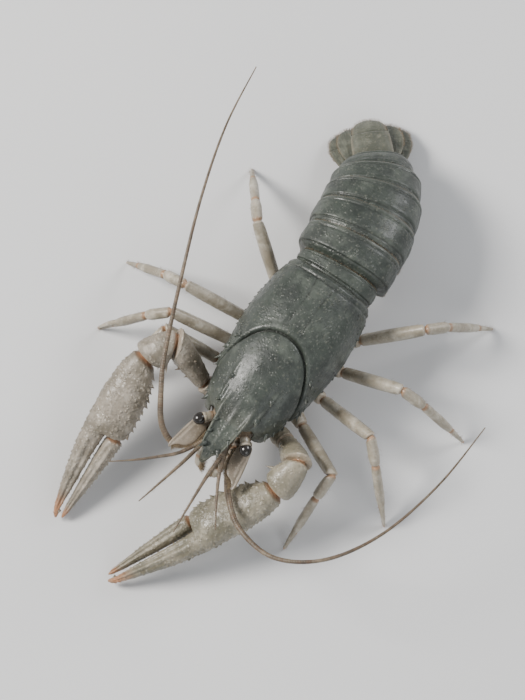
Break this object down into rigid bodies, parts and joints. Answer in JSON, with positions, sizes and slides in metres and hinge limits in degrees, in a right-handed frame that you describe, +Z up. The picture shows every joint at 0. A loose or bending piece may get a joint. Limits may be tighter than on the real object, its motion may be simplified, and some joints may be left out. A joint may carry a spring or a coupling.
{
  "type": "crayfish",
  "caption": "Life-size still model of a narrow-clawed crayfish, standing with both claws forward and its tail curled down to its right.",
  "frame": {"origin": "on the floor, under the middle of the box around the whole animal, feelers included", "axes": "+Z up; the animal faces -Y; +X is its left side"},
  "size_m": [0.0982, 0.1342, 0.0338],
  "materials": {
    "shell": "dark grey-green shell, satin",
    "underside": "pale cream underside, matte",
    "tail_fan": "paler grey-green plates, satin",
    "claw": "pale grey-beige shell, satin",
    "leg": "pale beige shell, satin",
    "feeler": "brown ringed feelers, matte",
    "eye": "black, polished"
  },
  "bodies": {
    "root": {"carapace": "shell", "sternum": "underside", "tail_ring_1": "shell", "tail_ring_2": "shell", "tail_ring_3": "shell", "tail_ring_4": "shell", "tail_ring_5": "shell", "tail_ring_6": "shell", "telson": "tail_fan", "tail_fan_left_inner": "tail_fan", "tail_fan_left_outer": "tail_fan", "tail_fan_right_inner": "tail_fan", "tail_fan_right_outer": "tail_fan", "eyestalk_left": "leg", "eyestalk_right": "leg", "eye_left": "eye", "eye_right": "eye", "antennule_left": "feeler", "antennule_right": "feeler", "antenna_left_base": "feeler", "antenna_left_scale": "claw", "antenna_left_near": "feeler", "antenna_left_middle": "feeler", "antenna_left_far": "feeler", "antenna_right_base": "feeler", "antenna_right_scale": "claw", "antenna_right_near": "feeler", "antenna_right_middle": "feeler", "antenna_right_far": "feeler", "mouth_leg_left": "leg", "mouth_leg_right": "leg", "claw_arm_left_base": "claw", "claw_arm_left_upper": "claw", "claw_arm_left_wrist": "claw", "claw_left_palm": "claw", "claw_left_finger": "claw", "claw_arm_right_base": "claw", "claw_arm_right_upper": "claw", "claw_arm_right_wrist": "claw", "claw_right_palm": "claw", "claw_right_finger": "claw", "leg_2_left_upper": "leg", "leg_2_left_lower": "leg", "leg_3_left_upper": "leg", "leg_3_left_lower": "leg", "leg_4_left_upper": "leg", "leg_4_left_lower": "leg", "leg_5_left_upper": "leg", "leg_5_left_lower": "leg", "leg_2_right_upper": "leg", "leg_2_right_lower": "leg", "leg_3_right_upper": "leg", "leg_3_right_lower": "leg", "leg_4_right_upper": "leg", "leg_4_right_lower": "leg", "leg_5_right_upper": "leg", "leg_5_right_lower": "leg"}
  },
  "joints": []
}
